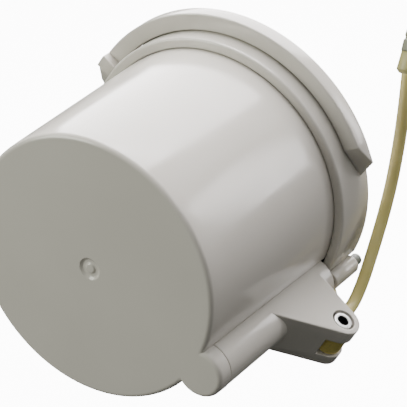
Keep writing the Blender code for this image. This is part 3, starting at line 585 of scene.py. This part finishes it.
def base():
    """The base: an outer wall, a bulkhead with the shaft seal's ring, screw posts and the collar's window."""
    seal_inner, seal_outer = SHAFT_SEAL_RADII
    corners = [
        (BASE_RADIUS, HEAD_DEPTH, 0.5),
        (BASE_RADIUS, BASE_FRONT, 0.9),
        (BASE_SEAT_RADIUS, BASE_FRONT, 0.45),
        (BASE_SEAT_RADIUS, BULKHEAD[0], 0.0),
        (SHAFT_HOLE_RADIUS, BULKHEAD[0], 0.0),
        (SHAFT_HOLE_RADIUS, BULKHEAD[1], 0.0),
        (seal_inner, BULKHEAD[1], 0.0),
        (seal_inner, 73.0, 0.3),
        (seal_outer, 73.0, 0.3),
        (seal_outer, BULKHEAD[1], 0.4),
        (BASE_INNER_RADIUS, BULKHEAD[1], 0.0),
        (BASE_INNER_RADIUS, HEAD_DEPTH, 0.3),
    ]
    made = lathe("base", rounded(corners), 256)
    tools = []
    for bearing in BACK_SCREWS:
        tools.append(bore(2.9, 68.5, BACK_PLATE[0] - GAP, spot(bearing, BACK_SCREW_CIRCLE)))
    tools.append(bore(4.0, 68.0, BACK_PLATE[0] + 2.5, spot(ARM_BEARING, BOLT_POST_CIRCLE)))
    join(made, *tools)
    window = sector(38.0, 47.0, -COLLAR_WEB - 2.5, COLLAR_WEB + COLLAR_TRAVEL + 2.5)
    out, _ = arm_directions()
    wall = arm_point(LEAD_APEX, -1.3, LEAD_LEVEL)
    slot = [(66.0, -15.5), (BULKHEAD[1] + 3.0, -15.5), (BULKHEAD[1] + 3.0, 0.5), (66.0, 0.5)]
    cut(
        made,
        bore(BOLT_HOLE_RADIUS, 60.0, 80.0, ARM_CENTRE),
        bore(2.2, 74.2, 80.0, ARM_CENTRE),
        bore(SLEEVE_RADIUS + GAP, 60.0, 80.0, sleeve_place(), 64),
        across("window", window, 69.6, 73.0),
        bar("bush_hole", 3.15, wall - out * 0.006, wall + out * 0.012),
        on_arm("lead_slot", slot, LEAD_LEVEL - 2.6, LEAD_LEVEL + 2.6),
    )
    return show(made, "base_shell", "base_housing", "base_grey_plastic", smooth=28)


def sector(inner, outer, start, end, step=1.5):
    """The outline of part of a ring between two bearings."""
    count = max(2, round(abs(end - start) / step))
    bearings = [start + (end - start) * i / count for i in range(count + 1)]
    return [spot(b, outer) for b in bearings] + [spot(b, inner) for b in reversed(bearings)]


def back_ring():
    front, back = BACK_PLATE
    corners = [
        (NECK_OPENING_RADIUS, front, 0.2),
        (BACK_PLATE_RADIUS, front, 0.2),
        (BACK_PLATE_RADIUS, back, 0.3),
        (NECK_OPENING_RADIUS, back, 0.6),
    ]
    made = lathe("back", rounded(corners))
    tools = [bore(4.4, 70.0, 80.0, spot(ARM_BEARING, BOLT_POST_CIRCLE))]
    for bearing in BACK_SCREWS:
        tool = [(0, 78.0), (3.4, 78.0), (3.4, 77.0), (1.6, 75.0), (1.6, 70.0), (0, 70.0)]
        tools.append(lathe("tool", tool, 48, spot(bearing, BACK_SCREW_CIRCLE)))
    cut(made, *tools)
    return show(made, "rear_cover_ring", "back_plate", "base_grey_plastic", smooth=28)


def cross_recess(place, depth):
    """The tool for a cross recess in a screw's head, with arms of reach r and half width w."""
    x, z = place
    r, w = 1.7, 0.42
    outline = [(-w, -r), (w, -r), (w, -w), (r, -w), (r, w), (w, w)]
    outline += [(w, r), (-w, r), (-w, w), (-r, w), (-r, -w), (-w, -w)]
    return across("cross", [(x + a, z + b) for a, b in outline], depth - 1.6, depth + 1.0)


def back_screws():
    for i, bearing in enumerate(BACK_SCREWS, 1):
        place = spot(bearing, BACK_SCREW_CIRCLE)
        profile = [(0, 76.9), (2.5, 76.9), (3.0, 76.7), (1.15, 75.0), (1.15, 68.6), (0, 68.2)]
        screw = lathe("screw", profile, 48, place)
        cut(screw, cross_recess(place, 76.9))
        show(screw, f"rear_screw_{i}", f"back_plate_screw_{i}", "zinc_steel")


def long_bolt():
    profile = [(0, 77.0), (1.7, 77.0), (1.9, 76.8), (1.9, 74.5), (1.3, 74.5), (1.3, 2.6), (0, 2.3)]
    bolt = lathe("bolt", profile, 48, ARM_CENTRE)
    corners = [spot(90.0 - 60.0 * k, 1.1) for k in range(6)]
    hexagon = [(ARM_CENTRE[0] + x, ARM_CENTRE[1] + z) for x, z in corners]
    cut(bolt, across("socket", hexagon, 75.4, 78.0))
    return show(bolt, "pot_bolt", "cover_bolt", "screw_steel")


# Collar


def collar():
    """The bayonet collar: the grip arc with ramped ends, its finger tab, the web and the clawed ring."""
    first, last = COLLAR_BEARINGS
    made = grip_arc(first, last)
    inner = BASE_RADIUS + GAP
    tab = sector(inner + 0.05, COLLAR_RADIUS - 0.05, first + 3.5, first + 8.5, 0.5)
    ring = [(28.5, 69.9, 0.3), (33.0, 69.9, 0.3), (33.0, 72.7, 0.3), (28.5, 72.7, 0.3)]
    tools = [
        soften(across("tab", tab, 64.8, COLLAR_DEPTHS[0] + 1.5), 0.45),
        across("web", sector(32.0, inner + 0.8, -COLLAR_WEB, COLLAR_WEB), 70.0, 72.6),
        lathe("claw_ring", rounded(ring, steps=3), 128),
    ]
    for bearing in (0.0, 120.0, 240.0):
        tools.append(across("claw", sector(24.0, 29.0, bearing - 14.0, bearing + 14.0, 1.1), 70.1, 72.5))
    join(made, *tools)
    return show(made, "bayonet_collar", "locking_collar", "warm_grey_plastic", body="collar", smooth=28)


def grip_arc(first, last):
    """A rounded bar bent round the base. Each end slopes back from its front edge."""
    front, back = COLLAR_DEPTHS
    inner, outer = BASE_RADIUS + GAP, COLLAR_RADIUS
    count = 96
    stops = [first - COLLAR_RAMP, first - 0.3, first]
    stops += [first + (last - first) * i / count for i in range(1, count)]
    stops += [last, last + 0.3, last + COLLAR_RAMP]
    sections = []
    for bearing in stops:
        over = max(first - bearing, bearing - last, 0.0) / COLLAR_RAMP
        near = front + (back - 0.5 - front) * over
        soft = min(0.5, (back - near) * 0.45)
        corners = [(inner, near, soft), (outer, near, soft), (outer, back, soft), (inner, back, soft)]
        line = []
        for radius, depth in rounded(corners, steps=4):
            skew = COLLAR_SKEW * over * (inner + outer - 2 * radius) / (outer - inner)
            x, z = spot(bearing + (skew if bearing > 0 else -skew), radius)
            line.append((x * MM, y_at(depth), z * MM))
        sections.append(line)
    return skin("grip", sections, capped=True)


# Clamp arm


def lug_outline():
    """The clamp lug in depth and outward distance: a triangle with a round nose."""
    turns = [spot(90.0 - angle, LUG_NOSE_RADIUS) for angle in range(140, -1, -5)]
    nose = [(LUG_NOSE[0] + a, LUG_NOSE[1] + b) for a, b in turns]
    return [(30.0, 1.4), *nose, (LUG_BACK, 4.4), (LUG_BACK, 0.0), (30.0, 0.0)]


def arm():
    """The round arm with its lug, and the ways through them for the bolt, pin, screw, nut and leads."""
    front, back = ARM_DEPTHS
    corners = [(0, back, 0), (6.5, back, 0.5), (ARM_RADIUS, back - 1.2, 0.6), (ARM_RADIUS, front, 0.35)]
    corners.append((0, front, 0))
    made = lathe("arm", rounded(corners, closed=False), 160, ARM_CENTRE)
    lug = on_arm("lug", lug_outline(), -ARM_RADIUS + 0.02, ARM_RADIUS - 0.02)
    soften(lug, 0.5, 3, 50)
    join(made, lug)
    depth, outward = CLAMP_SCREW
    high = arm_point(depth, outward, 12.0)
    slot = [(42.3, 11.0), (53.6, 11.0), (53.6, 30.0), (42.3, 30.0)]
    tools = [
        bore(BOLT_HOLE_RADIUS, 0.0, 70.0, ARM_CENTRE),
        bore(1.5, 44.0, 70.0, sleeve_place()),
        bar("screw_way", 1.75, arm_point(depth, outward, -2.0), high),
        bar("counterbore", 3.45, arm_point(depth, outward, 4.2), high, 96),
        on_arm("nut_slot", slot, -3.7, 2.9),
    ]
    for out, level in ((INNER_LEAD_OUT, LEAD_LEVEL), (OUTER_LEAD_OUT, 0.0)):
        ends = (arm_point(depth, out, level) for depth in (52.0, 60.0))
        tools.append(bar("lead_way", LEAD_RADIUS + GAP, *ends))
    cut(made, *tools)
    return show(made, "lead_clamp_arm", "clamp_arm", "warm_grey_plastic", smooth=28)


def nut():
    depth, outward = CLAMP_SCREW
    made = bar("nut", 4.4, arm_point(depth, outward, -3.4), arm_point(depth, outward, 2.6), 96, 0.35)
    cut(made, bar("thread", 1.6, arm_point(depth, outward, -5.0), arm_point(depth, outward, 5.0)))
    return show(made, "brass_clamp_nut", "clamp_nut", "brass")


def socket_screw():
    """The clamp screw. The inside of its hexagon socket is painted near-black, as painted shade in the
    recess.
    """
    depth, outward = CLAMP_SCREW
    seat, top = (arm_point(depth, outward, level) for level in SCREW_HEAD)
    above = arm_point(depth, outward, 9.0)
    made = bar("head", 2.75, seat, top, 96, 0.3)
    join(made, bar("shank", 1.4, arm_point(depth, outward, -3.2), arm_point(depth, outward, 5.5), 48))
    cut(made, bar("socket", 1.72, arm_point(depth, outward, 5.0), above, 6))
    cut(made, countersink(depth, outward))
    cut(made, bar("mouth", 1.78, arm_point(depth, outward, 6.95), above, 48))
    show(made, "clamp_socket_screw", "clamp_screw", "screw_steel", "bright_steel")
    # The socket's walls and the foot of its countersink get the near-black steel: painted shade for the
    # recess.
    made.data.materials.append(paint["painted_socket_shade"])
    _, up = arm_directions()
    for face in made.data.polygons:
        away = face.center - top
        height = away.dot(up)
        if -0.003 < height < -0.0002 and (away - up * height).length < 0.0018:
            face.material_index = 1
    return made


def countersink(depth, outward):
    """The small cone that opens the screw's socket."""
    _, up = arm_directions()
    profile = [(0, 0), (1.3, 0), (1.95, 0.6), (0, 0.6)]
    return turned_up("countersink", profile, upright(arm_point(depth, outward, 6.75), up), 48)


def sleeve():
    front, back = SLEEVE_DEPTHS
    corners = [(1.6, front, 0.2), (SLEEVE_RADIUS, front, 0.3), (SLEEVE_RADIUS, back, 0.5), (1.6, back, 0.2)]
    made = lathe("sleeve", rounded(corners), 96, sleeve_place())
    return show(made, "pin_sleeve", "rear_sleeve", "warm_grey_plastic")


def pin():
    corners = [
        (0, 78.3, 0),
        (1.8, 78.3, 0.5),
        (1.8, 74.8, 0.2),
        (1.3, 74.8, 0.0),
        (1.3, 45.0, 0.3),
        (0, 44.7, 0),
    ]
    made = lathe("pin", rounded(corners, closed=False), 64, sleeve_place())
    return show(made, "sleeve_pin", "retaining_pin", "grey_green_plastic", "pin_green")


# Leads


def smooth_route(route, spacing):
    """Points along a Catmull-Rom curve through the route, in metres, about a spacing apart."""
    ends = [route[0] * 2 - route[1], *route, route[-1] * 2 - route[-2]]
    points = []
    for a, b, c, d in zip(ends, ends[1:], ends[2:], ends[3:]):
        steps = max(1, round((c - b).length / spacing))
        for i in range(steps):
            t = i / steps
            bend = (2 * a - 5 * b + 4 * c - d) * t * t + (3 * b - a - 3 * c + d) * t * t * t
            points.append((2 * b + (c - a) * t + bend) / 2)
    return [*points, route[-1]]


def lead_curve(name, route):
    """A smooth lead along a route, as a curve object, with the points that it runs through."""
    points = smooth_route(route, LEAD_SPACING * MM)
    data = bpy.data.curves.new(name, "CURVE")
    data.dimensions = "3D"
    data.bevel_depth = LEAD_RADIUS * MM
    data.bevel_resolution = 10
    data.use_fill_caps = True
    line = data.splines.new("POLY")
    line.points.add(len(points) - 1)
    for point, place in zip(line.points, points):
        point.co = (*place, 1.0)
    line.use_smooth = True
    curve = bpy.data.objects.new(name, data)
    bpy.context.scene.collection.objects.link(curve)
    curve.data.materials.append(paint["amber_lead"])
    return curve, points


def free_lead(pieces):
    """The supply lead, from the lug to its connector."""
    route = [Vector((x * MM, y_at(depth), z * MM)) for x, depth, z in LEAD_ROUTE]
    lead, points = lead_curve("free_lead", route)
    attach(lead, "casing")
    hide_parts("supply_lead")


def short_lead():
    """The clipped lead: from the lug, round through the base wall and forward to the terminal block."""
    route = [arm_point(53.9, INNER_LEAD_OUT, LEAD_LEVEL), arm_point(56.2, INNER_LEAD_OUT, LEAD_LEVEL)]
    for turn in range(0, 181, 30):
        bend = math.radians(turn)
        outward = INNER_LEAD_OUT - LEAD_BEND + LEAD_BEND * math.cos(bend)
        route.append(arm_point(LEAD_TURN + LEAD_BEND * math.sin(bend), outward, LEAD_LEVEL))
    inside = ((23.2, 50.0, -16.8), (25.4, 42.0, -9.0), (25.6, 38.0, -7.5), (25.6, 35.2, -7.3))
    route += [Vector((x * MM, y_at(depth), z * MM)) for x, depth, z in inside]
    lead, _ = lead_curve("clipped_lead", route)
    return show(mesh_copy(lead), "clipped_lead", "inner_lead", "amber_lead", smooth=0)


def mesh_copy(curve):
    """Turns a curve object into a mesh object of the same name."""
    bpy.context.view_layer.update()
    shaped = curve.evaluated_get(bpy.context.evaluated_depsgraph_get())
    mesh = bpy.data.meshes.new_from_object(shaped)
    name = curve.name
    bpy.data.objects.remove(curve, do_unlink=True)
    thing = bpy.data.objects.new(name, mesh)
    bpy.context.scene.collection.objects.link(thing)
    return thing


def bush():
    out, _ = arm_directions()
    wall = arm_point(LEAD_APEX, 0.0, LEAD_LEVEL)
    made = bar("bush", 2.9, wall - out * 0.0008, wall + out * 0.0012, 64, 0.2)
    cut(made, bar("way", 2.5, wall - out * 0.01, wall + out * 0.01))
    return show(made, "wall_bush", "lead_bush", "black_rubber")


def connector_frame():
    """The frame at the lead's end, with its third axis along the connector."""
    x, depth, z = LEAD_ROUTE[-1]
    return upright(Vector((x * MM, y_at(depth), z * MM)), Vector(CONNECTOR_LEAN))


def ferrule():
    corners = [(0, -0.8, 0), (2.6, -0.8, 0.2), (3.5, 0.0, 0.25), (3.6, 5.3, 0.2), (0, 5.3, 0)]
    made = turned_up("ferrule", rounded(corners, closed=False), connector_frame())
    return show(made, "lead_end_collar", "lead_ferrule", "olive_plastic")


def connector():
    corners = [(0, 5.4, 0), (3.8, 5.4, 0.2), (4.0, 8.6, 0.1), (3.7, 8.9, 0.1), (3.7, 9.6, 0.1)]
    corners += [(4.0, 9.9, 0.1), (4.0, 21.6, 0.6), (2.6, 21.6, 0.2), (2.6, 19.6, 0), (0, 19.6, 0)]
    made = turned_up("connector", rounded(corners, closed=False, steps=3), connector_frame())
    return show(made, "lead_plug", "lead_connector", "grey_green_plastic")


# Shaft


def shaft():
    """The output shaft, with two flats on its end."""
    profile = [(0, 75.8), (2.5, 75.8), (SHAFT_RADIUS, 75.3), (SHAFT_RADIUS, 39.0), (0, 39.0)]
    made = lathe("shaft", profile, 96)
    flats = []
    for sign in (-1, 1):
        low, high = sorted((sign * 2.0, sign * 4.0))
        flats.append(across("flat", [(low, -5), (high, -5), (high, 5), (low, 5)], 73.4, 80.0))
    cut(made, *flats)
    return show(made, "drive_shaft", "output_shaft", "screw_steel", body="output")


# Light and floor


def area_light(name, place, target, size, height, power, colour):
    data = bpy.data.lights.new(name, "AREA")
    data.shape = "RECTANGLE"
    data.size = size
    data.size_y = height
    data.energy = power
    data.color = colour
    light = bpy.data.objects.new(name, data)
    bpy.context.scene.collection.objects.link(light)
    light.location = place
    light.rotation_euler = (Vector(target) - Vector(place)).to_track_quat("-Z", "Y").to_euler()
    return light


def studio():
    middle = Vector((0.0, -0.035, 0.0))
    pink, green = (1.0, 0.975, 0.985), (0.97, 1.0, 0.90)
    area_light("top_light", (-0.10, 0.30, 0.82), middle, 0.60, 0.60, 15.0, pink)
    area_light("back_softbox", middle + Vector((-0.30, 0.74, 0.42)), middle, 0.90, 0.75, 25.0, pink)
    area_light("side_strip", middle + Vector((0.57, 0.703, 0.266)), middle, 0.18, 0.40, 2.0, pink)
    area_light("right_fill", middle + Vector((0.70, 0.10, 0.75)), middle, 0.40, 0.40, 2.0, pink)
    area_light("front_fill", (-0.75, -0.80, 0.40), middle, 0.60, 0.60, 11.2, green)
    bpy.context.scene.world = sky()


def sky():
    """A soft surround that is pale above and dim below."""
    world = bpy.data.worlds.new("studio")
    world.use_nodes = True
    tree = world.node_tree
    place = tree.nodes.new("ShaderNodeTexCoord")
    split = tree.nodes.new("ShaderNodeSeparateXYZ")
    level = tree.nodes.new("ShaderNodeMapRange")
    level.inputs["From Min"].default_value = -0.5
    level.inputs["From Max"].default_value = 0.9
    level.inputs["To Min"].default_value = 0.04
    level.inputs["To Max"].default_value = 0.42
    tree.links.new(place.outputs["Generated"], split.inputs["Vector"])
    tree.links.new(split.outputs["Z"], level.inputs["Value"])
    background = tree.nodes["Background"]
    background.inputs["Color"].default_value = (0.98, 1.0, 0.95, 1.0)
    tree.links.new(level.outputs["Result"], background.inputs["Strength"])
    return world


def floor():
    """A wide pale floor below the part. It lights nothing and shows in no reflection."""
    half, level = 6.0, -0.30
    work = bmesh.new()
    corners = ((-half, -half), (half, -half), (half, half), (-half, half))
    work.faces.new([work.verts.new((x, y, level)) for x, y in corners])
    ground = mesh_object("floor", work)
    if ground.data.polygons[0].normal.z < 0:
        ground.data.flip_normals()
    paint = Paint("floor", 0.9)
    paint.mottle(2.0, 3.0, (0.92, 0.92, 0.92), (0.90, 0.90, 0.90))
    paint.shader.inputs["Emission Color"].default_value = (1.0, 1.0, 1.0, 1.0)
    paint.shader.inputs["Emission Strength"].default_value = 9.0
    ground.data.materials.append(paint.material)
    ground.visible_diffuse = False
    ground.visible_glossy = False


def paint_nodes():
    """Gives the CAD nodes that still show their materials."""
    for part in frame["record"]["subparts"]:
        thing = frame["nodes"].get(part["node"])
        if thing is None or not thing.data:
            continue
        material = paint[part["material_slot"]]
        if not thing.data.materials:
            thing.data.materials.append(material)
        for slot in thing.material_slots:
            slot.link = "OBJECT"
            slot.material = material


place_camera()
paint = paints()
paint_nodes()
free_lead([ferrule(), connector()])
pot()
base()
back_ring()
back_screws()
long_bolt()
collar()
arm()
nut()
socket_screw()
sleeve()
pin()
short_lead()
bush()
shaft()
studio()
floor()
